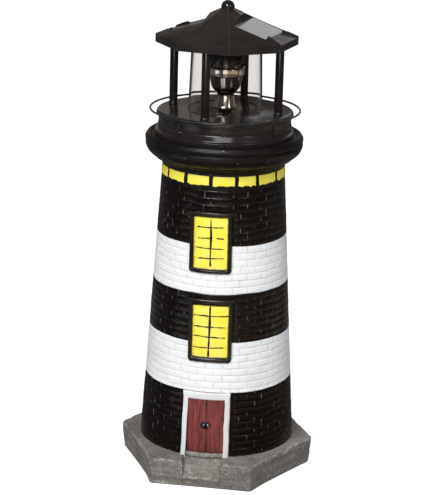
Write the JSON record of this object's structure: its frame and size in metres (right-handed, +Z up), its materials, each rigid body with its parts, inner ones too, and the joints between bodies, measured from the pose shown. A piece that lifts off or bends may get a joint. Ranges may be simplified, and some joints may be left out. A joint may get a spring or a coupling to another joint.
{
  "type": "solar garden lighthouse ornament",
  "caption": "Free-standing garden lighthouse: hollow cast tower on a six-sided plinth, with a lift-off solar lantern whose geared reflector turns inside a clear chimney.",
  "frame": {"origin": "on the ground at the middle of the plinth's outline, under the tower's axis", "axes": "+Z up along the tower's axis, the door and the windows face -Y, +X is the door's right as the viewer sees it"},
  "size_m": [0.1498, 0.1418, 0.3557],
  "materials": {
    "cast_resin": "satin",
    "satin_black": "satin",
    "gloss_black": "gloss",
    "black_wire": "satin",
    "black_post": "gloss",
    "steel": "satin",
    "brass": "satin",
    "bright_plating": "polished",
    "mirror": "polished",
    "clear_plastic": "gloss",
    "cell_sleeve": "gloss",
    "board": "satin",
    "switch_black": "matte",
    "white_gear": "satin",
    "lead_sheath": "satin",
    "lamp_epoxy": "gloss",
    "cell_glass": "gloss"
  },
  "bodies": {
    "tower": {"tower_casting": "cast_resin"},
    "lantern": {"gallery_drum": "satin_black", "gallery_hoop": "black_wire", "lantern_base": "satin_black", "door_hinge_pin": "steel", "battery_cell": "cell_sleeve", "contact_plus": "steel", "contact_minus": "steel", "circuit_board": "board", "switch_body": "switch_black", "drive_motor": "steel", "gear_plate": "white_gear", "idler_axle": "steel", "shaft_lower_bush": "brass", "shaft_deck_bush": "brass", "lens_chimney": "clear_plastic", "panel_lead": "lead_sheath", "roof_shell": "satin_black", "roof_underplate": "satin_black", "lamp_holder": "satin_black", "led_lamp": "lamp_epoxy", "finial_ball": "gloss_black", "solar_panel_right": "cell_glass", "solar_panel_left": "cell_glass", "lantern_post_front": "black_post", "lantern_post_right": "black_post", "lantern_post_back": "black_post", "lantern_post_left": "black_post", "base_screws": "steel", "plate_screws": "steel", "roof_screws": "steel"},
    "beacon": {"beacon_shaft": "steel", "drive_gear": "white_gear", "beacon_pedestal": "gloss_black", "reflector_bowl": "bright_plating", "beam_mirror": "mirror"},
    "idler": {"idler_gear": "white_gear"},
    "pinion": {"motor_shaft": "steel", "motor_pinion": "brass"},
    "switch_slider": {"switch_knob": "switch_black"},
    "door": {"battery_door": "satin_black"}
  },
  "joints": [
    {"name": "lantern_lift", "type": "slide", "parent": "tower", "child": "lantern", "axis": [0, 0, 1], "range_m": [0, 0.04]},
    {"name": "beacon_turn", "type": "hinge", "parent": "lantern", "child": "beacon", "pos_m": [0, 0, 0.275], "axis": [0, 0, 1], "continuous": true},
    {"name": "idler_turn", "type": "hinge", "parent": "lantern", "child": "idler", "pos_m": [0.01764, -0.00359, 0.264], "axis": [0, 0, 1], "continuous": true},
    {"name": "pinion_turn", "type": "hinge", "parent": "lantern", "child": "pinion", "pos_m": [0.01193, 0.01348, 0.264], "axis": [0, 0, 1], "continuous": true},
    {"name": "switch_slide", "type": "slide", "parent": "lantern", "child": "switch_slider", "axis": [0.9799, -0.1994, 0], "range_m": [0, 0.003]},
    {"name": "battery_door_swing", "type": "hinge", "parent": "lantern", "child": "door", "pos_m": [-0.0006, -0.00294, 0.2364], "axis": [0.9799, -0.1994, 0], "range_deg": [0, 95]}
  ],
  "couplings": [
    {"joint": "idler_turn", "follows": "beacon_turn", "ratio": -5},
    {"joint": "pinion_turn", "follows": "beacon_turn", "ratio": 25}
  ]
}
